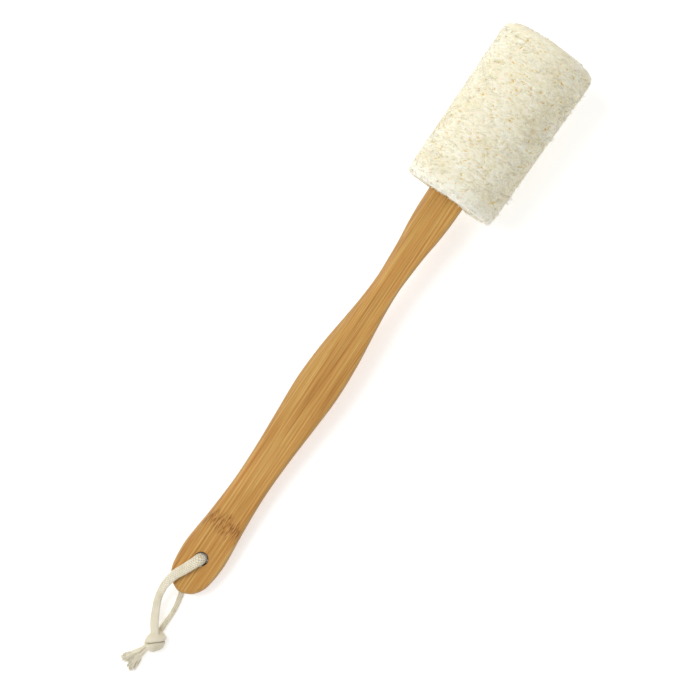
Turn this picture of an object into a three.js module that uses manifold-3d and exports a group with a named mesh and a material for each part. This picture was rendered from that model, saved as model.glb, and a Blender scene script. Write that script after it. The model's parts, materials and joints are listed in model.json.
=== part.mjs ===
// Loofah back scrubber, lying at rest on a table: a natural loofah on a flat bamboo handle,
// with a flat cotton hanging cord through the hole in the handle's tail.
//
// Units are millimetres and +Z is up. The row frame stands on the table under the middle of the
// handle and loofah, with +X from the tail to the loofah. The scrubber itself is drawn in the
// handle frame: x runs along the handle from its tail tip, y across it and z out of its front
// face, with z = 0 at half its thickness. That frame is then tilted to lie on the table.

import * as THREE from 'three';
import { mergeVertices } from 'three/addons/utils/BufferGeometryUtils.js';
import Module from 'manifold-3d';

const wasm = await Module();
wasm.setup();

// ---- driving dimensions ---------------------------------------------------------------------

const OVERALL_LENGTH = 406.4;
const GAP = 0.3;

const HANDLE = {
  thickness: 8.5,
  edgeRound: 3,
  entry: 295.6,
  tongueEnd: 378,
  tongueHalfWidth: 12.2,
  tongueTipHalfWidth: 7.5,
};

// Half width of the handle at stations along it, from the tail's bulb to the loofah.
const HANDLE_SIDE = [
  [1.6, 4.8], [4.2, 8.6], [9.3, 12.0], [16, 13.7], [28.3, 14.6], [41, 13.7], [53.6, 12.5],
  [78.8, 11.1], [104, 11.5], [129, 12.9], [153.8, 14.15], [178.5, 13.1], [203, 10.4],
  [217, 9.0], [232, 8.3], [246, 8.9], [258.5, 9.8], [270.6, 11.2], [283, 12.0],
];

const HOLE = { x: 25.7, radius: 4.1, chamfer: 0.7 };

const LOOFAH = {
  nearRadius: 30.7,
  farRadius: 31.9,
  nearRound: 3,
  farRound: 7,
  farDome: 1.2,
  nearOffsetY: -1.0,
  yaw: THREE.MathUtils.degToRad(-0.58),
};
LOOFAH.length = OVERALL_LENGTH - HANDLE.entry;

// The gourd's three natural seed channels: centre and half axes, seen along the loofah.
const SEED_CHANNELS = [
  { y: 0.5, z: 15.2, halfY: 11.5, halfZ: 8.2 },
  { y: -12.0, z: -14.2, halfY: 9.6, halfZ: 8.4 },
  { y: 12.2, z: -14.0, halfY: 9.4, halfZ: 8.2 },
];

const GLUE_LENGTH = 4.5;

// How the scrubber lies: the tail is low and the loofah rests on its near rim.
const LIE = {
  tilt: THREE.MathUtils.degToRad(4.49),
  tail: new THREE.Vector3(-202.95, 2.05, 7.25),
};

const CORD = { width: 5.0, thickness: 2.4, roll: 0.12, steps: 60, sides: 10 };

// The cord's centre line in the row frame, from the knot over the front face, down through the
// hole and back to the knot under the handle.
const CORD_ROUTE = [
  [-231.9, 1.2, 7.2], [-230.1, 2.6, 7.2], [-227.3, 4.5, 6.9], [-221.9, 7.3, 6.6],
  [-213.9, 10.6, 8.6], [-207.8, 11.6, 11.2], [-202.6, 11.7, 13.0], [-195.4, 10.3, 13.8],
  [-187.9, 6.9, 14.4], [-182.0, 4.3, 15.0], [-179.3, 3.1, 14.4], [-177.9, 2.5, 12.0],
  [-177.5, 2.2, 9.2], [-177.8, 2.4, 6.2], [-179.4, 3.1, 3.6], [-183.0, 4.5, 2.6],
  [-188.0, 5.2, 2.1], [-194.0, 4.0, 1.75], [-200.0, 1.9, 1.55], [-205.7, 0.0, 1.55],
  [-212.4, -1.4, 1.55], [-219.7, -2.0, 1.7], [-226.0, -1.9, 2.4], [-229.2, -1.9, 2.9],
  [-231.4, -1.9, 3.2],
];

const KNOT = {
  centre: new THREE.Vector3(-238.3, -3.2, 5.1),
  halfAxes: new THREE.Vector3(6.6, 5.9, 5.0),
};

// Each loose end leaves the knot as flat cord and frays into a fan.
const TAILS = [
  { name: 'cord_end_long', x: -245.4, y: -3.3, turn: 168, length: 18.4, root: 3.8, fan: 8.0 },
  { name: 'cord_end_short', x: -244.6, y: 0.7, turn: 150, length: 15.4, root: 3.4, fan: 7.6 },
];
const TAIL_THICKNESS = 3.2;
const TABLE_CLEARANCE = 0.1;

// ---- materials ------------------------------------------------------------------------------

function makeMaterials() {
  return {
    bamboo: new THREE.MeshStandardMaterial({ color: 0xc19555, roughness: 0.45, metalness: 0 }),
    loofah: new THREE.MeshStandardMaterial({ color: 0xece6ca, roughness: 0.95, metalness: 0 }),
    cotton: new THREE.MeshStandardMaterial({ color: 0xded6be, roughness: 0.9, metalness: 0 }),
    glue: new THREE.MeshStandardMaterial({ color: 0xd8c9a0, roughness: 0.35, metalness: 0 }),
  };
}

// ---- solids: joining and cutting ------------------------------------------------------------

function toSolid(geometry) {
  const bare = geometry.clone();
  bare.deleteAttribute('normal');
  bare.deleteAttribute('uv');
  const merged = mergeVertices(bare, 1e-4);
  return new wasm.Manifold(new wasm.Mesh({
    numProp: 3,
    vertProperties: new Float32Array(merged.attributes.position.array),
    triVerts: new Uint32Array(merged.index.array),
  }));
}

function toGeometry(solid) {
  const mesh = solid.getMesh();
  const geometry = new THREE.BufferGeometry();
  geometry.setAttribute('position', new THREE.BufferAttribute(mesh.vertProperties, 3));
  geometry.setIndex(new THREE.BufferAttribute(mesh.triVerts, 1));
  geometry.computeVertexNormals();
  return geometry;
}

// ---- bamboo handle --------------------------------------------------------------------------

function handleOutline() {
  const toPoint = ([x, halfWidth], side) => new THREE.Vector2(x, side * halfWidth);
  const entryHalfWidth = HANDLE.tongueHalfWidth;
  const leftSide = HANDLE_SIDE.map((station) => toPoint(station, 1));
  const rightSide = HANDLE_SIDE.map((station) => toPoint(station, -1)).reverse();
  const shape = new THREE.Shape();
  shape.moveTo(HANDLE.entry, -entryHalfWidth);
  shape.splineThru([...rightSide, new THREE.Vector2(0, 0), ...leftSide,
    new THREE.Vector2(HANDLE.entry, entryHalfWidth)]);
  shape.lineTo(HANDLE.tongueEnd, HANDLE.tongueTipHalfWidth);
  shape.lineTo(HANDLE.tongueEnd, -HANDLE.tongueTipHalfWidth);
  shape.closePath();
  return shape;
}

function holeCutter() {
  const half = HANDLE.thickness / 2;
  const flared = HOLE.radius + HOLE.chamfer + 1;
  const throat = half - HOLE.chamfer;
  const profile = [
    [0, -half - 1], [flared, -half - 1], [HOLE.radius, -throat],
    [HOLE.radius, throat], [flared, half + 1], [0, half + 1],
  ].map(([radius, height]) => new THREE.Vector2(radius, height));
  const cutter = new THREE.LatheGeometry(profile, 32);
  cutter.rotateX(Math.PI / 2);
  cutter.translate(HOLE.x, 0, 0);
  return cutter;
}

function handleGeometry() {
  const blank = new THREE.ExtrudeGeometry(handleOutline(), {
    depth: HANDLE.thickness - 2 * HANDLE.edgeRound,
    curveSegments: 3,
    bevelThickness: HANDLE.edgeRound,
    bevelSize: HANDLE.edgeRound,
    bevelOffset: -HANDLE.edgeRound,
    bevelSegments: 4,
  });
  blank.translate(0, 0, HANDLE.edgeRound - HANDLE.thickness / 2);
  return toGeometry(toSolid(blank).subtract(toSolid(holeCutter())));
}

// ---- loofah ---------------------------------------------------------------------------------

// The side of the loofah as a half profile: radius against distance from its near end.
function loofahProfile() {
  const { nearRadius, farRadius, nearRound, farRound, farDome, length } = LOOFAH;
  const shape = new THREE.Shape();
  shape.moveTo(0, 0);
  shape.lineTo(nearRadius - nearRound, 0);
  shape.quadraticCurveTo(nearRadius, 0, nearRadius, nearRound);
  shape.lineTo(farRadius, length - farRound - farDome);
  shape.quadraticCurveTo(farRadius, length - farDome, farRadius - farRound, length - farDome);
  shape.quadraticCurveTo(farRadius / 3, length, 0, length);
  return shape.getPoints(5);
}

function seedChannelCutter({ y, z, halfY, halfZ }) {
  const past = 5;
  const section = new THREE.Shape();
  section.absellipse(0, 0, halfY, halfZ, 0, 2 * Math.PI);
  const cutter = new THREE.ExtrudeGeometry(section, {
    depth: LOOFAH.length + 2 * past,
    bevelEnabled: false,
    curveSegments: 20,
  });
  cutter.translate(0, 0, -past);
  // The section's x and y become the loofah's y and z, and the depth runs along its length.
  cutter.applyMatrix4(new THREE.Matrix4().set(0, 0, 1, 0, 1, 0, 0, 0, 0, 1, 0, 0, 0, 0, 0, 1));
  cutter.translate(0, y, z);
  return cutter;
}

function tongueSlotCutter() {
  const before = 2;
  const end = HANDLE.tongueEnd + GLUE_LENGTH + 2 * GAP;
  const wide = HANDLE.tongueHalfWidth + GAP;
  const narrow = HANDLE.tongueTipHalfWidth + GAP;
  const section = new THREE.Shape();
  section.moveTo(HANDLE.entry - before, -wide);
  section.lineTo(HANDLE.entry, -wide);
  section.lineTo(HANDLE.tongueEnd, -narrow);
  section.lineTo(end, -narrow);
  section.lineTo(end, narrow);
  section.lineTo(HANDLE.tongueEnd, narrow);
  section.lineTo(HANDLE.entry, wide);
  section.lineTo(HANDLE.entry - before, wide);
  section.closePath();
  const height = HANDLE.thickness + 2 * GAP;
  const cutter = new THREE.ExtrudeGeometry(section, { depth: height, bevelEnabled: false });
  cutter.translate(0, 0, -height / 2);
  return cutter;
}

function loofahGeometry() {
  const place = new THREE.Matrix4().makeRotationZ(LOOFAH.yaw);
  place.setPosition(HANDLE.entry, LOOFAH.nearOffsetY, 0);
  const body = new THREE.LatheGeometry(loofahProfile(), 56);
  body.rotateZ(-Math.PI / 2);
  let solid = toSolid(body.applyMatrix4(place));
  for (const channel of SEED_CHANNELS) {
    solid = solid.subtract(toSolid(seedChannelCutter(channel).applyMatrix4(place)));
  }
  return toGeometry(solid.subtract(toSolid(tongueSlotCutter())));
}

// ---- glue in the blind end of the tongue's slot ---------------------------------------------

function gluePlugGeometry() {
  const width = 2 * HANDLE.tongueTipHalfWidth;
  const plug = new THREE.BoxGeometry(GLUE_LENGTH, width, HANDLE.thickness);
  plug.translate(HANDLE.tongueEnd + GAP + GLUE_LENGTH / 2, 0, 0);
  return plug;
}

// ---- hanging cord ---------------------------------------------------------------------------

function cordSection() {
  const corners = [];
  for (let i = 0; i < CORD.sides; i += 1) {
    const angle = (2 * Math.PI * (i + 0.5)) / CORD.sides;
    corners.push(new THREE.Vector2(
      (CORD.thickness / 2) * Math.cos(angle),
      (CORD.width / 2) * Math.sin(angle),
    ).rotateAround(new THREE.Vector2(0, 0), CORD.roll));
  }
  return new THREE.Shape(corners);
}

function cordGeometry() {
  const points = CORD_ROUTE.map((point) => new THREE.Vector3(...point));
  const path = new THREE.CatmullRomCurve3(points, false, 'centripetal');
  return new THREE.ExtrudeGeometry(cordSection(), { steps: CORD.steps, extrudePath: path });
}

function knotGeometry() {
  return new THREE.SphereGeometry(1, 24, 14).scale(...KNOT.halfAxes.toArray());
}

function tailGeometry({ length, root, fan }) {
  const shape = new THREE.Shape();
  shape.moveTo(0, -root / 2);
  shape.quadraticCurveTo(length * 0.5, -root / 2, length * 0.94, -fan / 2);
  shape.quadraticCurveTo(length, 0, length * 0.94, fan / 2);
  shape.quadraticCurveTo(length * 0.5, root / 2, 0, root / 2);
  shape.closePath();
  return new THREE.ExtrudeGeometry(shape, {
    depth: TAIL_THICKNESS,
    bevelEnabled: false,
    curveSegments: 6,
  });
}

// ---- assembly -------------------------------------------------------------------------------

function named(name, geometry, material) {
  const mesh = new THREE.Mesh(geometry, material);
  mesh.name = name;
  return mesh;
}

function buildScrubber(materials) {
  const scrubber = new THREE.Group();
  scrubber.add(named('bamboo_handle', handleGeometry(), materials.bamboo));
  scrubber.add(named('loofah_sponge', loofahGeometry(), materials.loofah));
  scrubber.add(named('glue_plug', gluePlugGeometry(), materials.glue));
  scrubber.rotation.y = -LIE.tilt;
  scrubber.position.copy(LIE.tail);
  return scrubber;
}

function buildHangingLoop(materials) {
  const loop = new THREE.Group();
  loop.add(named('hanging_cord', cordGeometry(), materials.cotton));
  const knot = named('cord_knot', knotGeometry(), materials.cotton);
  knot.position.copy(KNOT.centre);
  loop.add(knot);
  for (const tail of TAILS) {
    const end = named(tail.name, tailGeometry(tail), materials.cotton);
    end.position.set(tail.x, tail.y, TABLE_CLEARANCE);
    end.rotation.z = THREE.MathUtils.degToRad(tail.turn);
    loop.add(end);
  }
  return loop;
}

function buildBackScrubber() {
  const materials = makeMaterials();
  const backScrubber = new THREE.Group();
  backScrubber.add(buildScrubber(materials), buildHangingLoop(materials));
  return backScrubber;
}

export default buildBackScrubber();
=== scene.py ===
import json
import math

import bpy
import numpy as np
from mathutils import Matrix, Vector


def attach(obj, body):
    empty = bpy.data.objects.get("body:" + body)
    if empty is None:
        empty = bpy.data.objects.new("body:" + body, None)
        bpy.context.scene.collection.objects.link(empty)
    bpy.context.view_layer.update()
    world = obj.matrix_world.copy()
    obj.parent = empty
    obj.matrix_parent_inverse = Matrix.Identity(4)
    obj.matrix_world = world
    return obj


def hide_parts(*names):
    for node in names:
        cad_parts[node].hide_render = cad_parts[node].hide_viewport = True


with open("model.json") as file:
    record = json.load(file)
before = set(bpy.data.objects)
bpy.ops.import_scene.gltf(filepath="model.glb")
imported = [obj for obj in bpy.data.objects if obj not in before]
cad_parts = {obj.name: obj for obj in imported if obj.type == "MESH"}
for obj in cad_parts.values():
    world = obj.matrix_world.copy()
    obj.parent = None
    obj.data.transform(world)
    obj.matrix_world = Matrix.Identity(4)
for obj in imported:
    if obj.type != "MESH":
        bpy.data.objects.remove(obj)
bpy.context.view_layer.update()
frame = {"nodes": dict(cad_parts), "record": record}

# ---- driving values, in metres ----

MM = 0.001
FLOOR_GAP = 0.25 * MM

# The hanging cord's route, from the knot up to the hole's middle and back under the handle.
CORD_ROUTE = [
    (-0.2319, 0.0012, 0.0072), (-0.2301, 0.0026, 0.0072), (-0.2273, 0.0045, 0.0069),
    (-0.2219, 0.0073, 0.0066), (-0.2139, 0.0106, 0.0086), (-0.2078, 0.0116, 0.0112),
    (-0.2026, 0.0117, 0.0130), (-0.1954, 0.0103, 0.0138), (-0.1879, 0.0069, 0.0144),
    (-0.1820, 0.0043, 0.0150), (-0.1793, 0.0031, 0.0144), (-0.1779, 0.0025, 0.0120),
    (-0.1775, 0.0022, 0.0092), (-0.1778, 0.0024, 0.0062), (-0.1794, 0.0031, 0.0036),
    (-0.1830, 0.0045, 0.0026), (-0.1880, 0.0052, 0.0021), (-0.1940, 0.0040, 0.00175),
    (-0.2000, 0.0019, 0.00155), (-0.2057, 0.0000, 0.00155), (-0.2124, -0.0014, 0.00155),
    (-0.2197, -0.0020, 0.0017), (-0.2260, -0.0019, 0.0024), (-0.2292, -0.0019, 0.0029),
    (-0.2314, -0.0019, 0.0032),
]
HOLE_INDEX = 12
CORD_STEP = 0.16 * MM
CORD_AROUND = 110
BRAID_PITCH = 1.35 * MM
BRAID_YARNS = 9
BRAID_RELIEF = 0.30 * MM

record = frame["record"]
hinge = record["behaviour"]["joints"][0]
handle_normal = np.array(hinge["axis"], dtype=float)
handle_along = np.array([handle_normal[2], 0.0, -handle_normal[0]])
handle_tilt = math.atan2(handle_along[2], handle_along[0])


# ---- small geometry tools ----

def unit(vectors):
    return vectors / np.maximum(np.linalg.norm(vectors, axis=-1, keepdims=True), 1e-12)


def reaches(points):
    """How far along the path each of its points is."""
    return np.concatenate([[0], np.cumsum(np.linalg.norm(np.diff(points, axis=0), axis=1))])


def even_steps(points, count):
    """The same path with its points evenly spaced."""
    reach = reaches(points)
    even = np.linspace(0, reach[-1], count)
    return np.stack([np.interp(even, reach, column) for column in points.T], axis=1)


def smooth_path(points, step):
    """A centripetal Catmull-Rom curve through the points, cut into even steps."""
    points = np.asarray(points, dtype=float)
    points = np.vstack([2 * points[0] - points[1], points, 2 * points[-1] - points[-2]])
    fine = []
    for p0, p1, p2, p3 in zip(points, points[1:], points[2:], points[3:]):
        t1 = np.linalg.norm(p1 - p0) ** 0.5
        t2 = t1 + np.linalg.norm(p2 - p1) ** 0.5
        t3 = t2 + np.linalg.norm(p3 - p2) ** 0.5
        t = np.linspace(t1, t2, 24, endpoint=False)[:, None]
        a1 = (t1 - t) / t1 * p0 + t / t1 * p1
        a2 = (t2 - t) / (t2 - t1) * p1 + (t - t1) / (t2 - t1) * p2
        a3 = (t3 - t) / (t3 - t2) * p2 + (t - t2) / (t3 - t2) * p3
        b1 = (t2 - t) / t2 * a1 + t / t2 * a2
        b2 = (t3 - t) / (t3 - t1) * a2 + (t - t1) / (t3 - t1) * a3
        fine.append((t2 - t) / (t2 - t1) * b1 + (t - t1) / (t2 - t1) * b2)
    fine = np.vstack(fine + [points[-2][None]])
    return even_steps(fine, max(2, int(round(reaches(fine)[-1] / step)) + 1))


def path_length(points):
    return float(reaches(points)[-1])


def lattice_noise(points, cell, seed):
    """Smooth random values between -1 and 1 that change from one cell to the next."""
    table = np.random.default_rng(seed).uniform(-1, 1, (32, 32, 32))
    place = points / cell
    base = np.floor(place).astype(int)
    part = place - base
    part = part * part * (3 - 2 * part)
    total = np.zeros(points.shape[:-1])
    for corner in np.ndindex(2, 2, 2):
        weight = np.prod(np.where(corner, part, 1 - part), axis=-1)
        index = (base + corner) % 32
        total += weight * table[index[..., 0], index[..., 1], index[..., 2]]
    return total


def grid_faces(rows, columns, closed=False):
    """Quads of a grid whose columns close into a ring, and whose rows may close too."""
    i = np.arange(rows if closed else rows - 1)[:, None]
    j = np.arange(columns)[None, :]
    here = i * columns
    above = (i + 1) % rows * columns
    following = (j + 1) % columns
    corners = [here + j, here + following, above + following, above + j]
    return np.stack(corners, axis=-1).reshape(-1, 4)


def signed_volume(vertices, faces):
    a, b, c, d = (vertices[faces[:, k]] for k in range(4))
    return float(np.sum(np.cross(a, b) * c) + np.sum(np.cross(a, c) * d))


def above_floor(points):
    return np.maximum(points, (-np.inf, -np.inf, FLOOR_GAP))


def read_vectors(items, field):
    """A mesh collection's vectors, one row each."""
    numbers = np.zeros(len(items) * 3)
    items.foreach_get(field, numbers)
    return numbers.reshape(-1, 3)


def add_object(name, data):
    made = bpy.data.objects.new(name, data)
    bpy.context.scene.collection.objects.link(made)
    return made


def dress_mesh(mesh, material, values):
    """Smooth shading, the material and the named values per vertex."""
    mesh.polygons.foreach_set("use_smooth", np.ones(len(mesh.polygons), dtype=bool))
    for key, numbers in values.items():
        mesh.attributes.new(key, "FLOAT", "POINT").data.foreach_set("value", np.ravel(numbers))
    mesh.materials.append(material)
    mesh.update()


def apply_modifiers(piece):
    depsgraph = bpy.context.evaluated_depsgraph_get()
    applied = bpy.data.meshes.new_from_object(piece.evaluated_get(depsgraph))
    piece.modifiers.clear()
    piece.data = applied


def add_mesh(name, vertices, quads, caps, material, values=None):
    """A smooth mesh object whose faces point out, with an optional named value per vertex."""
    vertices = np.asarray(vertices, dtype=float).reshape(-1, 3)
    if signed_volume(vertices, quads) < 0:
        quads = quads[:, ::-1]
        caps = [list(cap)[::-1] for cap in caps]
    mesh = bpy.data.meshes.new(name)
    mesh.from_pydata(vertices.tolist(), [], quads.tolist() + [list(cap) for cap in caps])
    dress_mesh(mesh, material, values or {})
    return add_object(name, mesh)


def frames_round(path, centre):
    """Tangents with side and lift directions, where lift points away from a centre."""
    tangents = unit(np.gradient(path, axis=0))
    out = path - centre
    lifts = unit(out - tangents * np.sum(out * tangents, axis=1, keepdims=True))
    return tangents, np.cross(lifts, tangents), lifts


def frames_along(path, side):
    """Tangents with side and lift directions carried along the path without twist."""
    tangents = unit(np.gradient(path, axis=0))
    sides = np.zeros_like(path)
    current = np.asarray(side, dtype=float)
    for i, tangent in enumerate(tangents):
        current = current - tangent * current.dot(tangent)
        current = current / np.linalg.norm(current)
        sides[i] = current
    return tangents, sides, np.cross(tangents, sides)


def braid_relief(along, around):
    """Height between 0 and 1 of a braid: two slanting sets of yarns that pass over each other."""
    a = along / BRAID_PITCH + around * BRAID_YARNS
    b = along / BRAID_PITCH - around * BRAID_YARNS
    ridge_a = np.abs(np.sin(np.pi * a))
    ridge_b = np.abs(np.sin(np.pi * b))
    over = (np.floor(a) + np.floor(b)) % 2 < 1
    on_a = ridge_a ** 0.6 * (0.45 + 0.55 * ridge_b ** 0.5)
    on_b = ridge_b ** 0.6 * (0.45 + 0.55 * ridge_a ** 0.5)
    return np.where(over, on_a, on_b)


def braided_band(path, frames, width, thickness, squareness=2.6):
    """Vertices of a flat braided cord along a path: width and thickness follow the path."""
    _, sides, lifts = frames
    reach = reaches(path)
    share = reach / reach[-1]
    width = np.interp(share, np.linspace(0, 1, len(width)), width)
    thickness = np.interp(share, np.linspace(0, 1, len(thickness)), thickness)
    turn = np.arange(CORD_AROUND) / CORD_AROUND
    angle = 2 * np.pi * turn
    power = 2 / squareness
    across = np.sign(np.cos(angle)) * np.abs(np.cos(angle)) ** power
    above = np.sign(np.sin(angle)) * np.abs(np.sin(angle)) ** power
    relief = braid_relief(reach[:, None], turn)
    inset = BRAID_RELIEF * (relief - 1)
    half_width = width[:, None] / 2 + inset
    half_thick = thickness[:, None] / 2 + inset
    points = (
        path[:, None, :]
        + sides[:, None, :] * (half_width * across)[..., None]
        + lifts[:, None, :] * (half_thick * above)[..., None]
    )
    wander = lattice_noise(points, 1.6 * MM, 11)[..., None] * 0.10 * MM
    return points + wander * unit(points - path[:, None, :]), relief


def tube_faces(rows, columns):
    """Quads of a tube's side, and its two end faces."""
    last = (rows - 1) * columns
    caps = [list(range(columns))[::-1], list(range(last, last + columns))]
    return grid_faces(rows, columns), caps


def join_parts(parts):
    """Stacks several (vertices, quads, caps) into one mesh's lists."""
    vertices = []
    quads = []
    caps = []
    first = 0
    for points, part_quads, part_caps in parts:
        points = points.reshape(-1, 3)
        vertices.append(points)
        quads.append(part_quads + first)
        caps.extend([[v + first for v in cap] for cap in part_caps])
        first += len(points)
    return np.vstack(vertices), np.vstack(quads), caps


def fibres(points, radius, sides, taper=0.35):
    """Thin round fibres along points of shape (fibres, steps, 3), thinner towards both ends."""
    count, steps, _ = points.shape
    points = above_floor(points)
    tangents = unit(np.gradient(points, axis=1))
    helper = np.eye(3)[np.argmin(np.abs(tangents.mean(axis=1)), axis=1)]
    first = unit(np.cross(tangents, helper[:, None, :]))
    second = np.cross(tangents, first)
    along = np.linspace(0, 1, steps)
    thin = taper + (1 - taper) * np.sin(np.pi * along) ** 0.5
    size = (radius[:, None] * thin[None, :])[:, :, None, None]
    angle = 2 * np.pi * np.arange(sides) / sides
    ring = (
        np.cos(angle)[:, None] * first[:, :, None, :]
        + np.sin(angle)[:, None] * second[:, :, None, :]
    )
    vertices = points[:, :, None, :] + size * ring
    quads, caps = tube_faces(steps, sides)
    starts = np.arange(count)[:, None, None] * steps * sides
    quads = (quads + starts).reshape(-1, 4)
    caps = (np.array(caps)[:, None, :] + starts[:, 0]).reshape(-1, sides).tolist()
    return vertices.reshape(-1, 3), quads, caps


# ---- materials ----

def linear(red, green, blue):
    """A display colour, 0 to 255, as the shader's linear colour."""
    def channel(value):
        value = value / 255
        if value <= 0.04045:
            return value / 12.92
        return ((value + 0.055) / 1.055) ** 2.4
    return (channel(red), channel(green), channel(blue), 1.0)


class Shader:
    """A short way to write a material's nodes."""

    def __init__(self, name, roughness, **sockets):
        self.material = bpy.data.materials.new(name)
        self.material.use_nodes = True
        self.tree = self.material.node_tree
        self.surface = self.tree.nodes["Principled BSDF"]
        self.surface.inputs["Roughness"].default_value = roughness
        for socket, value in sockets.items():
            self.surface.inputs[socket.replace("_", " ")].default_value = value
        self.place = self.node("ShaderNodeTexCoord").outputs["Object"]

    def node(self, kind, inputs=None, **settings):
        node = self.tree.nodes.new(kind)
        for key, value in settings.items():
            setattr(node, key, value)
        for socket, value in (inputs or {}).items():
            self.link(value, node.inputs[socket])
        return node

    def link(self, value, socket):
        if isinstance(value, bpy.types.NodeSocket):
            self.tree.links.new(value, socket)
        else:
            socket.default_value = value

    def turned(self, angle):
        inputs = {"Vector": self.place, "Angle": angle}
        return self.node("ShaderNodeVectorRotate", inputs, rotation_type="Y_AXIS").outputs["Vector"]

    def scaled(self, vector, scale):
        inputs = {0: vector, 1: scale}
        return self.node("ShaderNodeVectorMath", inputs, operation="MULTIPLY").outputs["Vector"]

    def noise(self, vector, scale, detail=3.0, roughness=0.55):
        inputs = {"Vector": vector, "Scale": scale, "Detail": detail, "Roughness": roughness}
        return self.node("ShaderNodeTexNoise", inputs).outputs["Fac"]

    def value(self, name):
        return self.node("ShaderNodeAttribute", attribute_name=name).outputs["Fac"]

    def axis(self, vector, letter):
        return self.node("ShaderNodeSeparateXYZ", {0: vector}).outputs[letter]

    def maths(self, operation, first, second=0.0):
        return self.node("ShaderNodeMath", {0: first, 1: second}, operation=operation).outputs[0]

    def between(self, value, low, high):
        """0 below low, 1 above high and smooth between them."""
        inputs = {"Value": value, "From Min": low, "From Max": high}
        node = self.node("ShaderNodeMapRange", inputs, interpolation_type="SMOOTHSTEP")
        return node.outputs["Result"]

    def ramp(self, value, stops):
        """A colour that follows a value, from stops of (place, (red, green, blue))."""
        node = self.node("ShaderNodeValToRGB", {"Fac": value})
        elements = node.color_ramp.elements
        while len(elements) < len(stops):
            elements.new(0.5)
        for element, (place, colour) in zip(elements, stops):
            element.position = place
            element.color = linear(*colour)
        return node.outputs["Color"]

    def mix(self, share, first, second, blend="MIX"):
        inputs = {"Factor": share, 6: first, 7: second}
        return self.node("ShaderNodeMix", inputs, data_type="RGBA", blend_type=blend).outputs[2]

    def tinted(self, base, mask, strength, colour):
        """The base with a colour laid over it where the mask is."""
        return self.mix(self.maths("MULTIPLY", mask, strength), base, linear(*colour))

    def bump(self, height, strength, distance):
        inputs = {"Height": height, "Strength": strength, "Distance": distance}
        self.link(self.node("ShaderNodeBump", inputs).outputs["Normal"], self.surface.inputs["Normal"])

    def colour(self, value):
        self.link(value, self.surface.inputs["Base Color"])


NODE_STATION = 0.0515
NODE_HALF_WIDTH = 0.0068


def grain_noise(shader, grain, scale, detail, roughness=0.55):
    return shader.noise(shader.scaled(grain, scale), 1.0, detail, roughness)


def bamboo_grain(shader, grain, station, streak, fine):
    """Pale and brown streaks with reddish stretches, thin pins and short pores."""
    wide = grain_noise(shader, grain, (6, 190, 190), 2.0)
    warm = grain_noise(shader, grain, (12, 520, 520), 3.0, 0.6)
    fleck = grain_noise(shader, grain, (150, 2600, 2600), 1.0)
    base = shader.ramp(streak, [
        (0.33, (176, 124, 60)),
        (0.46, (196, 149, 80)),
        (0.56, (208, 165, 94)),
        (0.68, (224, 186, 120)),
    ])
    broad = shader.ramp(wide, [(0.36, (240, 233, 220)), (0.64, (255, 254, 250))])
    base = shader.mix(1.0, base, broad, "MULTIPLY")
    reddish = shader.between(warm, 0.54, 0.66)
    base = shader.tinted(base, reddish, 0.55, (204, 138, 68))
    pins = shader.between(fine, 0.60, 0.70)
    base = shader.tinted(base, pins, 0.60, (178, 104, 44))
    pores = shader.between(fleck, 0.68, 0.76)
    base = shader.tinted(base, pores, 0.45, (132, 88, 42))
    far = shader.between(station, 0.09, 0.27)
    lighter = shader.mix(far, linear(250, 246, 240), linear(255, 255, 252))
    return shader.mix(1.0, base, lighter, "MULTIPLY")


def bamboo_node(shader, grain, station, base):
    """The dark dashes of the bamboo's node, across the handle near its tail."""
    ragged = grain_noise(shader, grain, (60, 420, 420), 3.0)
    shift = shader.maths("MULTIPLY", shader.maths("SUBTRACT", ragged, 0.5), 0.020)
    near = shader.maths("SUBTRACT", shader.maths("ADD", station, shift), NODE_STATION)
    distance = shader.maths("ABSOLUTE", near)
    band = shader.maths("SUBTRACT", 1.0, shader.between(distance, 0.002, NODE_HALF_WIDTH + 0.002))
    base = shader.tinted(base, band, 0.45, (176, 122, 58))
    dashes = grain_noise(shader, grain, (170, 1500, 1500), 2.0)
    dark = shader.maths("MULTIPLY", shader.between(dashes, 0.49, 0.58), band)
    base = shader.tinted(base, dark, 0.80, (132, 80, 34))
    light = shader.maths("MULTIPLY", shader.between(dashes, 0.46, 0.36), band)
    return shader.tinted(base, light, 0.5, (214, 168, 98))


def bamboo_edge_and_hole_shade(shader, grain, station, base):
    """Painted shade and painted reflection on the rounded edges, which are painted darker and greyer, and
    painted shade on the hanging hole's wall.
    """
    height = shader.maths("SUBTRACT", shader.axis(grain, "Z"), HANDLE_HEIGHT)
    level = shader.maths("ABSOLUTE", height)
    # Painted shade and painted reflection: the rounded edges are painted darker and greyer.
    rounded = shader.between(level, handle_half - 0.00004, handle_half - 0.0010)
    base = shader.tinted(base, rounded, 0.55, (178, 144, 96))
    # Painted shade: the wall of the hanging hole is painted nearly black.
    side_step = shader.maths("SUBTRACT", shader.axis(grain, "Y"), HOLE_Y)
    hole_step = shader.maths("SUBTRACT", station, HOLE_STATION)
    squares = [shader.maths("POWER", step, 2.0) for step in (side_step, hole_step)]
    from_hole = shader.maths("SQRT", shader.maths("ADD", *squares))
    wall = shader.maths("SUBTRACT", 1.0, shader.between(from_hole, HOLE_RADIUS, HOLE_RADIUS + 0.0008))
    return shader.tinted(base, wall, 0.93, (58, 38, 24))


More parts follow.
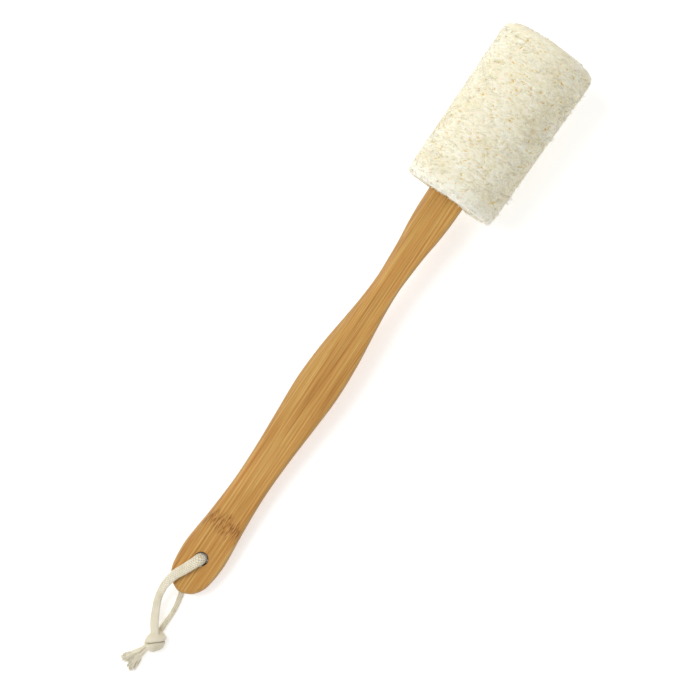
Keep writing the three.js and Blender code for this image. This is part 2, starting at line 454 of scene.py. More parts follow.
def bamboo_material():
    shader = Shader("bamboo", roughness=0.5, Specular_IOR_Level=0.28)
    grain = shader.turned(handle_tilt)
    station = shader.maths("ADD", shader.axis(grain, "X"), STATION_SHIFT)
    streak = grain_noise(shader, grain, (14, 880, 880), 4.0, 0.62)
    fine = grain_noise(shader, grain, (26, 2300, 2300), 2.0)
    base = bamboo_grain(shader, grain, station, streak, fine)
    base = bamboo_node(shader, grain, station, base)
    shader.colour(bamboo_edge_and_hole_shade(shader, grain, station, base))
    shader.link(shader.between(streak, -0.6, 1.9), shader.surface.inputs["Roughness"])
    relief = shader.maths("ADD", streak, shader.maths("MULTIPLY", fine, 0.5))
    shader.bump(relief, 0.22, 0.0002)
    return shader.material


def loofah_material():
    shader = Shader(
        "loofah",
        roughness=0.82,
        Subsurface_Weight=0.12,
        Subsurface_Scale=0.002,
        Sheen_Weight=0.15,
        Specular_IOR_Level=0.25,
    )
    cloud = shader.noise(shader.place, 60.0, detail=2.0)
    mottle = shader.noise(shader.scaled(shader.place, (1050, 300, 300)), 1.0, detail=4.0, roughness=0.65)
    base = shader.ramp(mottle, [
        (0.32, (228, 220, 191)),
        (0.50, (240, 235, 213)),
        (0.68, (247, 244, 231)),
    ])
    tint = shader.ramp(cloud, [(0.35, (249, 246, 236)), (0.65, (255, 255, 255))])
    base = shader.mix(1.0, base, tint, "MULTIPLY")
    # On the skin this value holds the pits. On the core it also carries painted shade, which the tan below
    # paints.
    pit_and_shade = shader.value("pit_and_shade")
    tan = shader.ramp(pit_and_shade, [
        (0.0, (240, 233, 208)),
        (0.40, (229, 209, 148)),
        (1.0, (212, 174, 98)),
    ])
    base = shader.mix(shader.between(pit_and_shade, 0.15, 0.75), base, tan)
    base = shader.tinted(base, shader.value("rim"), 0.75, (246, 245, 236))
    base = shader.mix(shader.between(pit_and_shade, 1.2, 1.6), base, linear(104, 64, 34))
    shader.colour(base)
    shader.bump(mottle, 0.35, 0.0004)
    return shader.material


def fibre_material():
    shader = Shader("loofah_fibre", roughness=0.75, Sheen_Weight=0.1, Specular_IOR_Level=0.3)
    cloud = shader.noise(shader.place, 150.0, detail=3.0)
    base = shader.ramp(cloud, [
        (0.30, (242, 235, 209)),
        (0.52, (250, 246, 230)),
        (0.75, (252, 250, 240)),
    ])
    shader.colour(base)
    strand = shader.noise(shader.place, 2600.0, detail=2.0)
    shader.bump(strand, 0.2, 0.0001)
    return shader.material


def cotton_material():
    shader = Shader("cotton_cord", roughness=0.9, Sheen_Weight=0.2, Specular_IOR_Level=0.2)
    relief = shader.value("relief")
    cloud = shader.noise(shader.place, 240.0, detail=3.0)
    thread = shader.noise(shader.place, 5200.0, detail=2.0)
    # Painted shade and painted light on the braid: low relief, its grooves, is painted dark and high
    # relief, its crests, is painted light.
    braid_shade = shader.ramp(relief, [
        (0.10, (150, 138, 108)),
        (0.50, (222, 214, 192)),
        (0.95, (247, 243, 230)),
    ])
    tint = shader.ramp(cloud, [(0.32, (241, 237, 226)), (0.68, (255, 254, 251))])
    base = shader.mix(1.0, braid_shade, tint, "MULTIPLY")
    shader.colour(base)
    shader.bump(thread, 0.35, 0.00015)
    return shader.material


def glue_material():
    shader = Shader("glue", roughness=0.25, Coat_Weight=0.3)
    cloud = shader.noise(shader.place, 300.0, detail=3.0)
    base = shader.ramp(cloud, [(0.35, (206, 182, 128)), (0.65, (226, 208, 160))])
    shader.colour(base)
    shader.bump(cloud, 0.3, 0.0003)
    return shader.material


# ---- the camera ----

CAMERA_RIGHT = Vector((0.5617, -0.8273, 0)).normalized()
CAMERA_PLACE = Vector((-0.0184, -0.00148, 1.0))
CAMERA_LENS = 81.7


def add_camera():
    """Looks straight down, with the scrubber's tail at the lower left."""
    data = bpy.data.cameras.new("camera")
    data.lens = CAMERA_LENS
    data.sensor_width = 36
    camera = add_object("camera", data)
    up = Vector((-CAMERA_RIGHT.y, CAMERA_RIGHT.x, 0))
    turn = Matrix((CAMERA_RIGHT, up, (0, 0, 1))).transposed()
    camera.matrix_world = Matrix.Translation(CAMERA_PLACE) @ turn.to_4x4()
    bpy.context.scene.camera = camera


# ---- the hanging cord ----

def finish_cord_piece(piece):
    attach(piece, "hanging_loop")


def cord_strand(name, route, widths, thicknesses, material):
    path = smooth_path(route, CORD_STEP)
    frames = frames_along(path, (0, 1, 0))
    points, relief = braided_band(path, frames, np.array(widths) * MM, np.array(thicknesses) * MM)
    quads, caps = tube_faces(len(path), CORD_AROUND)
    piece = add_mesh(name, points, quads, caps, material, {"relief": relief})
    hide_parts("hanging_cord")
    finish_cord_piece(piece)
    return piece, path


# A wisp of cotton caught between the cord and the hole's rim.
RIM_TUFT = (-0.1808, 0.0007, 0.0142)
RIM_FIBRES = 26


def cord_fuzz(name, paths, widths, count, seed, material):
    """Short loose cotton fibres that stand off the strands."""
    rng = np.random.default_rng(seed)
    groups = []
    t = np.linspace(0, 1, 5)[None, :, None]
    for path, width in zip(paths, widths):
        tangents, sides, lifts = frames_along(path, (0, 1, 0))
        place = rng.integers(4, len(path) - 4, count)
        angle = rng.uniform(0, 2 * np.pi, count)
        out = sides[place] * np.cos(angle)[:, None] + lifts[place] * np.sin(angle)[:, None]
        edge = path[place] + sides[place] * (np.cos(angle) * width / 2 * 0.93)[:, None]
        edge += lifts[place] * (np.sin(angle) * 1.05 * MM)[:, None]
        lean = unit(out + tangents[place] * rng.normal(0, 1.0, (count, 1)))
        bend = unit(rng.normal(0, 1, (count, 3)))
        reach = rng.uniform(0.5, 1.3, count)[:, None, None] * MM
        groups.append(edge[:, None, :] + reach * (t * lean[:, None, :] + 0.45 * t * t * bend[:, None, :]))
    tuft = np.array(RIM_TUFT) + rng.normal(0, 0.35, (RIM_FIBRES, 3)) * MM
    lean = unit(rng.normal(0, 0.6, (RIM_FIBRES, 3)) + np.array([-0.5, -0.6, 0.6]))
    groups.append(tuft[:, None, :] + 1.3 * MM * t * lean[:, None, :])
    points = np.vstack(groups)
    size = np.full(len(points), 0.035 * MM)
    size[-RIM_FIBRES:] = 0.11 * MM
    vertices, quads, caps = fibres(points, size, sides=3)
    piece = add_mesh(name, vertices, quads, caps, material, {"relief": np.full(len(vertices), 0.8)})
    finish_cord_piece(piece)
    return piece


# The knot's bands go round its centre: a collar of the whole cord over a slanting lower band.
KNOT_CENTRE = np.array([-0.2383, -0.0032, 0.0051])
COLLAR_ACROSS = np.array([-0.47, 0.88, 0.0])
COLLAR_ALONG = np.array([0.88, 0.47, 0.0])
LOWER_BAND = [
    (2.0, -4.1, -2.8), (1.3, -4.9, -0.9), (0.0, -4.2, 1.6), (-1.4, -2.4, 3.1), (-3.2, -0.8, 3.0),
    (-4.8, 0.1, 1.2), (-5.5, 0.2, -1.0), (-3.9, -0.3, -2.8),
]
SIDE_BAND = [
    (-0.6, 4.2, -2.6), (-2.4, 4.9, -1.6), (-3.9, 4.3, -0.2), (-3.8, 2.2, 1.0), (-2.0, -0.2, 1.8),
]
HEART_HALF_AXES = (5.4, 4.2, 3.7)


def collar_path():
    angle = np.radians(np.linspace(-70, 262, 16))
    drift = np.linspace(3.0, 4.2, 16)
    return (
        np.cos(angle)[:, None] * 4.3 * COLLAR_ACROSS
        + np.sin(angle)[:, None] * 3.4 * np.array([0, 0, 1.0])
        + (drift - 0.9 * np.cos(angle))[:, None] * COLLAR_ALONG
    )


def knot_heart():
    """The cord's hidden crossings inside the knot, as one rounded lump."""
    long, wide, high = HEART_HALF_AXES
    rows = 40
    polar = np.linspace(0.05, np.pi - 0.05, rows)[:, None]
    turn = 2 * np.pi * np.arange(CORD_AROUND)[None, :] / CORD_AROUND
    points = np.stack([
        long * MM * np.cos(polar) + 0 * turn,
        wide * MM * np.sin(polar) * np.cos(turn),
        high * MM * np.sin(polar) * np.sin(turn),
    ], axis=-1)
    relief = braid_relief(6 * MM * polar, turn / (2 * np.pi))
    points = points * (1 + 0.06 * relief[..., None]) + KNOT_CENTRE
    quads, caps = tube_faces(rows, CORD_AROUND)
    # Painted shade: the relief value is halved so that the heart is painted darker where it shows between
    # the bands.
    return (points, quads, caps), 0.5 * relief.ravel()


def cord_knot(material):
    """An overhand knot: the cord's bands pulled tight round one another."""
    heart, heart_relief = knot_heart()
    parts = [heart]
    reliefs = [heart_relief]
    bands = [
        (collar_path(), (5.2, 6.6, 7.6, 7.6, 6.6, 5.2), (2.4, 2.9, 3.1, 3.0, 2.7, 2.4)),
        (np.array(LOWER_BAND), (4.8, 6.2, 6.9, 6.6, 4.8), (2.3, 2.7, 2.9, 2.7, 2.2)),
        (np.array(SIDE_BAND), (2.6, 3.4, 3.6, 3.0), (1.8, 2.2, 2.2, 1.8)),
    ]
    for points, widths, thicks in bands:
        path = smooth_path(points * MM + KNOT_CENTRE, CORD_STEP)
        frames = frames_round(path, KNOT_CENTRE)
        points, relief = braided_band(path, frames, np.array(widths) * MM, np.array(thicks) * MM, 2.2)
        parts.append((above_floor(points), *tube_faces(len(path), CORD_AROUND)))
        reliefs.append(relief.ravel())
    values = {"relief": np.concatenate(reliefs)}
    piece = add_mesh("cord_knot_bands", *join_parts(parts), material, values)
    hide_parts("cord_knot")
    finish_cord_piece(piece)
    return piece


# The frayed ends leave the knot together, run through one waist and then part.
FRAY_WAIST = np.array([-0.2505, 0.0014, 0.0036])
YARN_STEPS = 12
YARN_SIDES = 5
FRAYED_ENDS = [
    {"name": "frayed_end_long", "node": "cord_end_long", "root": (-0.2424, -0.0016, 0.0050),
     "tip": (-0.2612, 0.0008, 0.0020), "spread": 0.0041, "fibres": 130, "seed": 21},
    {"name": "frayed_end_short", "node": "cord_end_short", "root": (-0.2420, -0.0002, 0.0056),
     "tip": (-0.2586, 0.0076, 0.0024), "spread": 0.0035, "fibres": 115, "seed": 22},
]


def frayed_end(end, material):
    """The cut end of the cord, unravelled into loose wavy yarns."""
    rng = np.random.default_rng(end["seed"])
    count = end["fibres"]
    root = np.array(end["root"])
    tip = np.array(end["tip"])
    forward = unit(tip - root)
    across = unit(np.cross((0, 0, 1), forward))
    lift = np.cross(forward, across)
    angle = rng.uniform(0, 2 * np.pi, count)
    radial = np.sqrt(rng.uniform(0, 1, count))
    a = radial * np.cos(angle)
    b = radial * np.sin(angle)
    reach = rng.uniform(0.80, 1.09, count) * (1 - 0.08 * a * a)
    t = np.linspace(0, 1, YARN_STEPS)
    run = (reach[:, None] * t[None, :])[..., None]
    middle = (1 - run) ** 2 * root + 2 * run * (1 - run) * FRAY_WAIST + run**2 * tip
    open_out = 1.5 * MM + (end["spread"] - 1.5 * MM) * t[None, :] ** 2.2
    rise = 1.4 * MM + 0.3 * MM * t[None, :]
    wave = rng.uniform(0.15, 0.55, (count, 1)) * MM * t[None, :]
    ripple, ripple_up = (
        wave * size * np.sin(rng.uniform(0, 6.3, (count, 1)) + rng.uniform(7, 16, (count, 1)) * t[None, :])
        for size in (1.0, 0.6)
    )
    points = (
        middle
        + across * (a[:, None] * open_out + ripple)[..., None]
        + lift * (b[:, None] * rise + ripple_up)[..., None]
    )
    vertices, quads, caps = fibres(points, rng.uniform(0.18, 0.36, count) * MM, sides=YARN_SIDES, taper=0.5)
    shade = np.repeat(0.42 + 0.58 * rng.uniform(0, 1, count), YARN_STEPS * YARN_SIDES)
    piece = add_mesh(end["name"], vertices, quads, caps, material, {"relief": shade})
    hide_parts(end["node"])
    finish_cord_piece(piece)
    return piece


# Where the two strands run on inside the knot, and their widths and thicknesses in millimetres
# from the hole, where each is round and fills it, to the knot.
FRONT_IN_KNOT = (-0.2352, -0.0012, 0.0066)
BACK_IN_KNOT = (-0.2350, -0.0033, 0.0046)
FRONT_WIDTHS = (7.7, 7.1, 6.8, 5.9, 5.6, 6.4, 6.8, 6.8)
FRONT_THICKNESSES = (7.7, 2.9, 2.3, 2.1, 2.1, 2.2, 2.3, 2.4)
BACK_WIDTHS = (7.7, 5.4, 4.6, 4.0, 3.6, 3.5, 3.6, 3.8)
BACK_THICKNESSES = (7.7, 2.6, 2.2, 2.2, 2.3, 2.4, 2.4, 2.4)


def build_cord():
    cotton = cotton_material()
    front_route = CORD_ROUTE[HOLE_INDEX::-1] + [FRONT_IN_KNOT]
    back_route = CORD_ROUTE[HOLE_INDEX:] + [BACK_IN_KNOT]
    front, front_path = cord_strand("cord_front", front_route, FRONT_WIDTHS, FRONT_THICKNESSES, cotton)
    back, back_path = cord_strand("cord_back", back_route, BACK_WIDTHS, BACK_THICKNESSES, cotton)
    fuzz = cord_fuzz("cord_fuzz", (front_path, back_path), (5.2 * MM, 3.7 * MM), 330, 31, cotton)
    knot = cord_knot(cotton)
    ends = [frayed_end(end, cotton) for end in FRAYED_ENDS]
    smooth_path(front_route, 2 * MM).tolist()
    smooth_path(back_route, 2 * MM).tolist()


# ---- the handle ----

EDGE_ROUND = 0.003
HOLE_RADIUS = 0.0041
HOLE_CHAMFER = 0.0007
HANDLE_STEP = 0.0009
FACE_COLUMNS = 30
ROUND_STEPS = 6
HOLE_SIDES = 72


def node_points(name):
    return read_vectors(frame["nodes"][name].data.vertices, "co")


def handle_frame():
    """Where the handle's tail tip lies, and half its thickness, from the CAD node."""
    points = node_points("bamboo_handle")
    station = points @ handle_along
    height = points @ handle_normal
    middle = (height.min() + height.max()) / 2
    centre_y = (points[:, 1].min() + points[:, 1].max()) / 2
    origin = handle_along * station.min() + handle_normal * middle + np.array([0, centre_y, 0])
    return origin, (height.max() - height.min()) / 2


handle_origin, handle_half = handle_frame()
STATION_SHIFT = -float(handle_origin @ handle_along)
HOLE_STATION = float((np.array(hinge["pos_m"]) - handle_origin) @ handle_along)
HOLE_Y = float(handle_origin[1])
HANDLE_HEIGHT = float(handle_origin @ handle_normal)


def handle_side():
    """The handle's outline on one side, from the tail tip on: station and half width."""
    local = node_points("bamboo_handle") - handle_origin
    station = local @ handle_along
    height = local @ handle_normal
    on_side = (np.abs(height) < handle_half - EDGE_ROUND + 1e-5) & (local[:, 1] > -1e-6)
    corners = np.stack([station[on_side], local[on_side, 1]], axis=1)
    in_hole = np.hypot(corners[:, 0] - HOLE_STATION, corners[:, 1]) < HOLE_RADIUS + HOLE_CHAMFER
    corners = np.unique(np.round(corners[~in_hole], 6), axis=0)
    return corners[np.argsort(corners[:, 0])]


def nose_faces(count):
    """Closes the first ring across the tail tip, strip by strip, so that the nose stays round."""
    right = count + FACE_COLUMNS
    ring = 2 * (count + FACE_COLUMNS)
    above = list(range(count - 2, right + 2))
    below = [*range(right + count - 2, ring), 0, 1]
    strips = [
        [k, k + 1, right + count - 2 - k, right + count - 1 - k]
        for k in range(1, count - 2)
    ]
    return [face[::-1] for face in [above, below, *strips]]


def handle_outline():
    """The outline's left half in even steps from the tail tip, with its inward directions."""
    side = handle_side()
    keep = [side[0]]
    for corner in side[1:]:
        if corner[0] - keep[-1][0] > 0.25 * MM or np.hypot(*(corner - keep[-1])) > 1.0 * MM:
            keep.append(corner)
    keep[0] = np.zeros(2)
    mirrored = np.array(keep[3:0:-1]) * np.array([1, -1])
    outline = smooth_path(np.vstack([mirrored, keep]), HANDLE_STEP)
    tangent = unit(np.gradient(outline, axis=0))
    inward = np.stack([tangent[:, 1], -tangent[:, 0]], axis=1)
    one_side = outline[:, 1] > 0.05 * MM
    return outline[one_side], inward[one_side]


def handle_rings(outline, inward):
    """Closed sections of the handle, in its own axes: round edges joined by the flat faces."""
    rounds = np.linspace(-math.pi / 2, math.pi / 2, 2 * ROUND_STEPS)
    inset = EDGE_ROUND * (1 - np.cos(rounds))
    height = np.sign(rounds) * (handle_half - EDGE_ROUND) + EDGE_ROUND * np.sin(rounds)
    left = outline[:, None, :] + inward[:, None, :] * inset[None, :, None]
    heights = np.broadcast_to(height[None, :, None], (*left.shape[:2], 1))
    left = np.concatenate([left, heights], axis=2)
    right = left[:, ::-1, :] * np.array([1, -1, 1])
    share = (np.arange(FACE_COLUMNS) + 1)[None, :, None] / (FACE_COLUMNS + 1)
    top = left[:, -1:, :] * (1 - share) + right[:, :1, :] * share
    bottom = right[:, -1:, :] * (1 - share) + left[:, :1, :] * share
    return np.concatenate([left, top, right, bottom], axis=1)


def raise_grain(ring):
    """Gives both faces their faint grain, ripples and the swelling at the bamboo's node."""
    on_face = (np.abs(ring[..., 2]) - handle_half + 0.5 * EDGE_ROUND) / (0.45 * EDGE_ROUND)
    facing = np.sign(ring[..., 2]) * np.clip(on_face, 0, 1)
    grain = lattice_noise(ring, np.array([18, 0.55, 2.0]) * MM, 41)
    ripple = lattice_noise(ring, np.array([40, 3.2, 6.0]) * MM, 42)
    zigzag = lattice_noise(ring, np.array([9, 1.1, 9]) * MM, 43) * 2.2 * MM
    bulge = np.exp(-((ring[..., 0] - NODE_STATION + zigzag) / (2.4 * MM)) ** 2)
    ring[..., 2] += facing * (0.022 * grain + 0.035 * ripple + 0.10 * bulge - 0.05) * MM


def bamboo_handle(material):
    ring = handle_rings(*handle_outline())
    raise_grain(ring)
    points = (
        handle_origin
        + ring[..., 0:1] * handle_along
        + ring[..., 1:2] * np.array([0.0, 1.0, 0.0])
        + ring[..., 2:3] * handle_normal
    )
    quads, caps = tube_faces(*ring.shape[:2])
    caps = nose_faces(2 * ROUND_STEPS) + caps[1:]
    piece = add_mesh("bamboo_handle_wood", points, quads, caps, material)
    drill_hole(piece, handle_origin + handle_along * HOLE_STATION)
    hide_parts("bamboo_handle")
    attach(piece, "scrubber")


def drill_hole(piece, centre):
    """Cuts the hanging hole with a small round chamfer at both faces."""
    over = 2 * MM
    upper = [
        (handle_half + over, HOLE_RADIUS + HOLE_CHAMFER + over),
        (handle_half - 0.3 * HOLE_CHAMFER, HOLE_RADIUS + 0.55 * HOLE_CHAMFER),
        (handle_half - HOLE_CHAMFER, HOLE_RADIUS),
    ]
    profile = upper + [(-height, radius) for height, radius in upper[::-1]]
    angle = 2 * np.pi * np.arange(HOLE_SIDES)[:, None] / HOLE_SIDES
    around = np.cos(angle) * handle_along + np.sin(angle) * np.array([0, 1, 0])
    rings = [centre + handle_normal * height + radius * around for height, radius in profile]
    quads, caps = tube_faces(len(profile), HOLE_SIDES)
    cutter = add_mesh("hole_cutter", np.vstack(rings), quads, caps, piece.data.materials[0])
    cut = piece.modifiers.new("hole", "BOOLEAN")
    cut.operation = "DIFFERENCE"
    cut.solver = "EXACT"
    cut.object = cutter
    apply_modifiers(piece)
    bpy.data.objects.remove(cutter)


# ---- the loofah ----

SKIN_STEP = 0.00052
SKIN_COLUMNS = 400
SKIN_THICKNESS = 0.0040
NEAR_ROUND = 0.0042
FAR_ROUND = 0.007
FAR_DOME = 0.0012
NEAR_SHARE = 0.03
FAR_SHARE = 0.925
PIT_COUNT = 3000
# The one dark pit near the handle: station, turn, depth, length and width.
DARK_PIT = (0.0042, 1.21, 2.0, 0.7 * MM, 0.6 * MM)
NET_FIBRES = 3600
NET_LAYERS = 3
TUFT_COUNT = 260
CORE_VOXEL = 0.0011
CORE_SCALE = 0.955
RIM_SHRINK = 0.09
END_FIBRES = 900


class LoofahFrame:
    """The loofah's own axes, station along it and turn round it, with sizes from the CAD node."""

    def __init__(self):
        self.points = node_points("loofah_sponge")
        self.across = np.array([0.0, 1.0, 0.0])
        self.lift = handle_normal
        station = self.points @ handle_along
        self.near = float(station.min())
        self.length = float(station.max()) - self.near
        self.near_centre, self.near_radius = self.ring(0.0, 0.4)
        self.far_centre, self.far_radius = self.ring(0.6, 1.0)

    def share(self, points):
        return (points @ handle_along - self.near) / self.length

    def ring(self, low, high):
        """Centre and radius of the outer surface over a stretch of the length."""
        share = self.share(self.points)
        part = self.points[(share >= low) & (share <= high)]
        flat = np.stack([part @ self.across, part @ self.lift], axis=1)
        centre = (flat.max(axis=0) + flat.min(axis=0)) / 2
        radius = float((flat.max(axis=0) - flat.min(axis=0)).mean() / 2)
        return centre, radius

    def centre(self, share):
        part = (np.asarray(share)[..., None] - NEAR_SHARE) / (FAR_SHARE - NEAR_SHARE)
        return self.near_centre * (1 - part) + self.far_centre * part

    def radius(self, share):
        part = np.clip((share - NEAR_SHARE) / (FAR_SHARE - NEAR_SHARE), 0, 1)
        return self.near_radius * (1 - part) + self.far_radius * part

    def end_inset(self, station):
        """How far the rounded ends bring the skin in from the full radius."""
        steps = [0.0004, 0.0012, 0.0024, NEAR_ROUND]
        steps += [self.length - FAR_ROUND, self.length - 0.005, self.length - 0.003]
        return np.interp(station, steps, np.array([2.4, 1.25, 0.45, 0, 0, 0.7, 1.7]) * MM)

    def place(self, share, turn, radius):
        """Points at a share of the length and a turn in radians, at a distance from the axis."""
        centre = self.centre(share)
        y = centre[..., 0] + radius * np.cos(turn)
        z = centre[..., 1] + radius * np.sin(turn)
        station = self.near + self.length * share
        return station[..., None] * handle_along + y[..., None] * self.across + z[..., None] * self.lift


def skin_profile(length):
    """The skin's section as (station, inset from the outer radius), outside first, then inside."""
    arc = np.linspace(0, math.pi / 2, 9)
    near = np.stack([NEAR_ROUND * (1 - np.sin(arc)), NEAR_ROUND * (1 - np.cos(arc))], axis=1)[::-1]
    t = np.linspace(0, 0.72, 14)[:, None]
    corner = [
        np.array([length - FAR_ROUND - FAR_DOME, 0.0]),
        np.array([length - FAR_DOME, 0.0]),
        np.array([length - FAR_DOME, FAR_ROUND]),
    ]
    far = (1 - t) ** 2 * corner[0] + 2 * t * (1 - t) * corner[1] + t * t * corner[2]
    outside = np.vstack([[0.0006, SKIN_THICKNESS], near, far])
    outside = even_steps(outside, int(path_length(outside) / SKIN_STEP))
    inner_stations = np.linspace(length - 0.012, 0.004, 12)
    inside = np.stack([inner_stations, np.full(12, SKIN_THICKNESS + 0.0005)], axis=1)
    return outside, inside


def scatter_pits(rng, stations, turns, radius):
    """Small elongated pits that lie across the loofah, as one depth value per grid point."""
    depth = np.zeros((len(stations), len(turns)))
    centre_station = rng.uniform(0.001, stations.max() - 0.004, PIT_COUNT)
    centre_turn = rng.uniform(0, 2 * np.pi, PIT_COUNT)
    heading = rng.normal(0, 0.45, PIT_COUNT)
    long = rng.uniform(0.6, 1.7, PIT_COUNT) * MM
    short = rng.uniform(0.34, 0.54, PIT_COUNT) * MM
    power = rng.beta(1.2, 2.2, PIT_COUNT) * 1.2 + 0.12
    centre_station[0], centre_turn[0], power[0], long[0], short[0] = DARK_PIT
    step_turn = turns[1] - turns[0]
    reach = 3.2 * MM
    columns = int(reach / (radius * step_turn)) + 1
    window = np.arange(-columns, columns + 1)
    across = radius * (window * step_turn)
    for k in range(PIT_COUNT):
        rows = np.flatnonzero(np.abs(stations - centre_station[k]) < reach)
        middle = int(round(centre_turn[k] / step_turn))
        near = (middle + window) % len(turns)
        along = stations[rows][:, None] - centre_station[k]
        a = across[None, :] * math.cos(heading[k]) + along * math.sin(heading[k])
        b = along * math.cos(heading[k]) - across[None, :] * math.sin(heading[k])
        bowl = power[k] * np.exp(-((a / long[k]) ** 2) - (b / short[k]) ** 2)
        block = np.ix_(rows, near)
        depth[block] = np.maximum(depth[block], bowl)
    return depth


def loofah_skin(shape, material):
    """The felted outer wall: a closed sleeve with a pitted, uneven outside and open ends."""
    outside, inside = skin_profile(shape.length)
    profile = np.vstack([outside, inside])
    turns = 2 * np.pi * np.arange(SKIN_COLUMNS) / SKIN_COLUMNS
    station = profile[:, :1]
    share = station / shape.length
    points = shape.place(share, turns, shape.radius(share) - profile[:, 1:])
    middle = shape.place(share, turns, np.zeros(1))
    near_face = np.clip(1 - station / NEAR_ROUND, 0, 1)
    far_face = np.clip((station - shape.length + 0.006) / 0.005, 0, 1)
    end_lean = handle_along * 0.55
    out = unit(unit(points - middle) - near_face[..., None] * end_lean + far_face[..., None] * end_lean)
    pits = np.zeros(points.shape[:2])
    rows = len(outside)
    pits[:rows] = scatter_pits(np.random.default_rng(51), outside[:, 0], turns, shape.near_radius)
    uneven = (
        0.12 * lattice_noise(points, 11 * MM, 52)
        + 0.19 * lattice_noise(points, np.array([0.9, 3.0, 3.0]) * MM, 53)
        + 0.12 * lattice_noise(points, 0.9 * MM, 54)
    )
    ragged = 0.35 * lattice_noise(points, 2.0 * MM, 55) * (near_face + far_face)
    move = (uneven + ragged - 0.25 - 0.50 * np.minimum(pits, 1.3)) * MM
    sunk = np.clip(1 - (rows - 1 - np.arange(len(profile))) / 6, 0, 1)[:, None]
    move = move - 1.1 * MM * sunk
    move[rows:] = 0
    points = points + out * move[..., None]
    points = above_floor(points)
    rim = np.clip(1 - station / 0.012, 0, 1).repeat(SKIN_COLUMNS, axis=1)
    hollow = np.clip(-lattice_noise(points, np.array([0.8, 2.4, 2.4]) * MM, 56) - 0.25, 0, 1) * 0.45
    quads = grid_faces(len(profile), SKIN_COLUMNS, closed=True)
    values = {"pit_and_shade": np.maximum(pits, hollow), "rim": rim}
    piece = add_mesh("loofah_skin", points, quads, [], material, values)
    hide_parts("loofah_sponge")
    finish_loofah_piece(piece)


def finish_loofah_piece(piece):
    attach(piece, "scrubber")


def add_loofah_fibres(name, points, radius, sides, material):
    finish_loofah_piece(add_mesh(name, *fibres(points, radius, sides), material))


def loofah_core(shape, material):
    """The inner sponge: its cut end faces, the three seed channels and the slot for the tongue."""
    source = frame["nodes"]["loofah_sponge"].data.copy()
    source.materials.clear()
    core = add_object("loofah_core", source)
    points = shape.points
    middle = shape.place(shape.share(points), np.zeros(len(points)), np.zeros(len(points)))
    off_axis = np.linalg.norm(points - middle, axis=1)
    at_rim = np.clip((off_axis - 0.022) / 0.006, 0, 1) * np.clip(1 - shape.share(points) / 0.04, 0, 1)
    scale = CORE_SCALE - RIM_SHRINK * at_rim
    shrunk = middle + (points - middle) * scale[:, None]
    source.vertices.foreach_set("co", shrunk.ravel())
    remesh = core.modifiers.new("even", "REMESH")
    remesh.mode = "VOXEL"
    remesh.voxel_size = CORE_VOXEL
    apply_modifiers(core)
    mesh = core.data
    points = read_vectors(mesh.vertices, "co")
    normals = read_vectors(mesh.vertex_normals, "vector")
    rough = 0.38 * lattice_noise(points, 2.4 * MM, 61) + 0.30 * lattice_noise(points, 1.5 * MM, 62)
    points = points + normals * ((rough - 0.15) * MM)[:, None]
    mesh.vertices.foreach_set("co", points.ravel())
    share = shape.share(points)
    inside = np.clip(np.minimum(share, 1 - share) * shape.length / 0.03, 0, 1)
    # The core's tan is partly its own colour and partly painted shade: it is painted tanner in its dents
    # and further in from the cut ends.
    pit_and_shade = np.clip(0.12 + 0.55 * inside - 0.9 * rough, 0, 1)
    dress_mesh(mesh, material, {"pit_and_shade": pit_and_shade, "rim": np.zeros(len(points))})
    finish_loofah_piece(core)
    return points, normals


def loofah_net(shape, material):
    """The outer net: fine fibres that run mostly across the loofah and weave over its skin."""
    rng = np.random.default_rng(71)
    count = NET_FIBRES
    t = np.linspace(-0.5, 0.5, 9)[None, :]
    length = rng.uniform(4, 12, (count, 1)) * MM
    heading = np.where(rng.uniform(0, 1, (count, 1)) < 0.9, rng.normal(0.1, 0.24, (count, 1)),
                       rng.uniform(-1.57, 1.57, (count, 1)))
    heading = heading + rng.normal(0, 0.35, (count, 1)) * t
    station = rng.uniform(0.001, shape.length - 0.005, (count, 1)) + length * t * np.sin(heading)
    station = np.clip(station, 0.0012, shape.length - 0.0052)
    turn = rng.uniform(0, 2 * np.pi, (count, 1)) + length * t * np.cos(heading) / shape.near_radius
    weave = 0.11 * np.sin(rng.uniform(0, 6.3, (count, 1)) + rng.uniform(6, 16, (count, 1)) * t)
    share = station / shape.length
    radius = shape.radius(share) - shape.end_inset(station) + (weave - 0.16) * MM
    points = shape.place(share, turn, radius)
    for layer in range(NET_LAYERS):
        part = points[layer::NET_LAYERS]
        size = rng.uniform(0.08, 0.15, len(part)) * MM
        add_loofah_fibres(f"loofah_net_{layer + 1}", part, size, 3, material)


def loofah_tufts(shape, material):
    """Loose fibre tips that stand off the skin in small groups."""
    rng = np.random.default_rng(81)
    each = 6
    count = TUFT_COUNT
    station = rng.uniform(0.0008, shape.length - 0.004, (count, 1))
    station[: count // 4] = rng.uniform(0.0004, 0.002, (count // 4, 1))
    station = station + rng.normal(0, 0.5, (count, each)) * MM
    station = np.clip(station, 0.0004, shape.length - 0.003)
    turn = rng.uniform(0, 2 * np.pi, (count, 1)) + rng.normal(0, 0.018, (count, each))
    share = (station / shape.length).ravel()
    turn = turn.ravel()
    inset = shape.end_inset(station).ravel() + 0.3 * MM
    root = shape.place(share, turn, shape.radius(share) - inset)
    out = unit(root - shape.place(share, turn, 0 * share))
    lean = np.repeat(unit(rng.normal(0, 1, (count, 3))), each, axis=0)
    way = unit(out + 0.75 * lean + rng.normal(0, 0.28, root.shape))
    curl = unit(rng.normal(0, 1, root.shape))
    t = np.linspace(0, 1, 6)[None, :, None]
    reach = rng.uniform(1.0, 2.3, len(root))[:, None, None] * MM
    points = root[:, None, :] + reach * (t * way[:, None, :] + 0.35 * t * t * curl[:, None, :])
    size = rng.uniform(0.07, 0.14, len(root)) * MM
    add_loofah_fibres("loofah_tufts", points, size, 3, material)


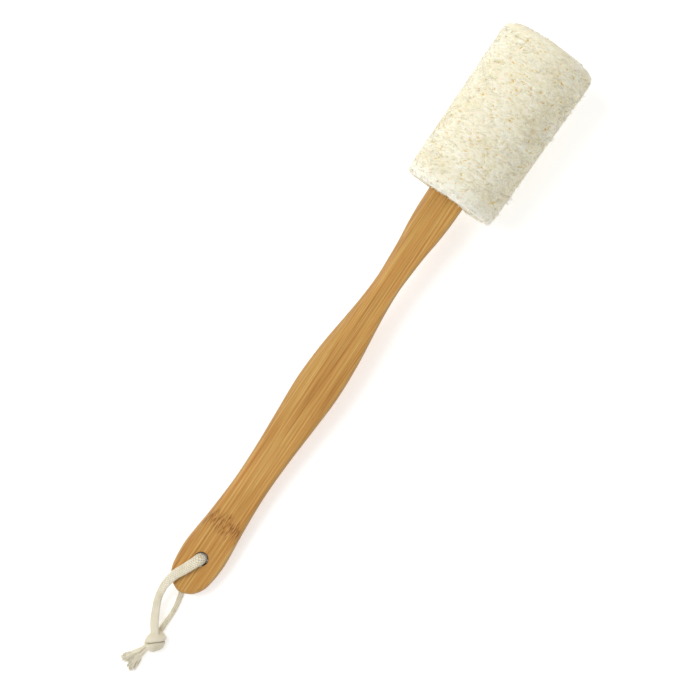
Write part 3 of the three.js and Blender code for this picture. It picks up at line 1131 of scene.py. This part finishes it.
def loofah_end_fibres(shape, points, normals, material):
    """Coarser fibres on the cut ends and round the mouths of the seed channels."""
    rng = np.random.default_rng(91)
    share = shape.share(points)
    middle = shape.place(share, 0 * share, 0 * share)
    off_axis = np.linalg.norm(points - middle, axis=1)
    on_end = (share < 0.10) | (share > 0.88)
    chosen = np.flatnonzero(on_end & (off_axis < 0.93 * shape.near_radius))
    chosen = rng.choice(chosen, END_FIBRES, replace=False)
    root = points[chosen]
    out = normals[chosen]
    way = rng.normal(0, 1, root.shape)
    way = unit(way - out * np.sum(way * out, axis=1, keepdims=True))
    bend = unit(rng.normal(0, 1, root.shape))
    reach = rng.uniform(2.2, 6.0, len(root))[:, None, None] * MM
    t = np.linspace(-0.5, 0.5, 8)[None, :, None]
    bow = 0.30 * (1 - 4 * t * t) * MM
    points = root[:, None, :] + reach * (t * way[:, None, :] + 0.5 * t * t * bend[:, None, :])
    points = points + out[:, None, :] * bow
    size = rng.uniform(0.12, 0.22, len(root)) * MM
    add_loofah_fibres("loofah_end_fibres", points, size, 4, material)


def build_loofah():
    shape = LoofahFrame()
    sponge = loofah_material()
    fibre = fibre_material()
    loofah_skin(shape, sponge)
    points, normals = loofah_core(shape, sponge)
    loofah_net(shape, fibre)
    loofah_tufts(shape, fibre)
    loofah_end_fibres(shape, points, normals, fibre)


def dress_glue():
    glue = frame["nodes"]["glue_plug"].data
    glue.materials.clear()
    glue.materials.append(glue_material())


# ---- the room ----

FLOOR_HALF = 5.0
WORLD_STRENGTH = 0.64


def add_floor():
    mesh = bpy.data.meshes.new("floor")
    corners = [(x * FLOOR_HALF, y * FLOOR_HALF, 0) for x, y in [(-1, -1), (1, -1), (1, 1), (-1, 1)]]
    mesh.from_pydata(corners, [], [(0, 1, 2, 3)])
    floor = add_object("floor", mesh)
    glow = {"Emission_Color": (1, 1, 1, 1), "Emission_Strength": 0.35}
    shader = Shader("floor", roughness=0.9, Specular_IOR_Level=0.1, **glow)
    grey = shader.noise(shader.place, 30.0, detail=2.0)
    shader.colour(shader.ramp(grey, [(0.0, (250, 250, 250)), (1.0, (252, 252, 252))]))
    mesh.materials.append(shader.material)


def add_area_light(name, location, target, size, power):
    data = bpy.data.lights.new(name, "AREA")
    data.shape = "DISK"
    data.size = size
    data.energy = power
    light = add_object(name, data)
    light.location = location
    light.rotation_euler = (Vector(target) - Vector(location)).to_track_quat("-Z", "Y").to_euler()


def add_world():
    world = bpy.data.worlds.new("world")
    bpy.context.scene.world = world
    world.use_nodes = True
    background = world.node_tree.nodes["Background"]
    background.inputs[0].default_value = (1, 1, 1, 1)
    background.inputs[1].default_value = WORLD_STRENGTH
    bpy.context.scene.view_settings.view_transform = "Standard"


# ---- everything, in the order in which it is made ----

add_camera()
build_cord()
bamboo_handle(bamboo_material())
build_loofah()
dress_glue()
add_floor()
add_area_light("key", (-0.1, 0.78, 1.18), (0, 0, 0), size=0.8, power=9.6)
add_world()
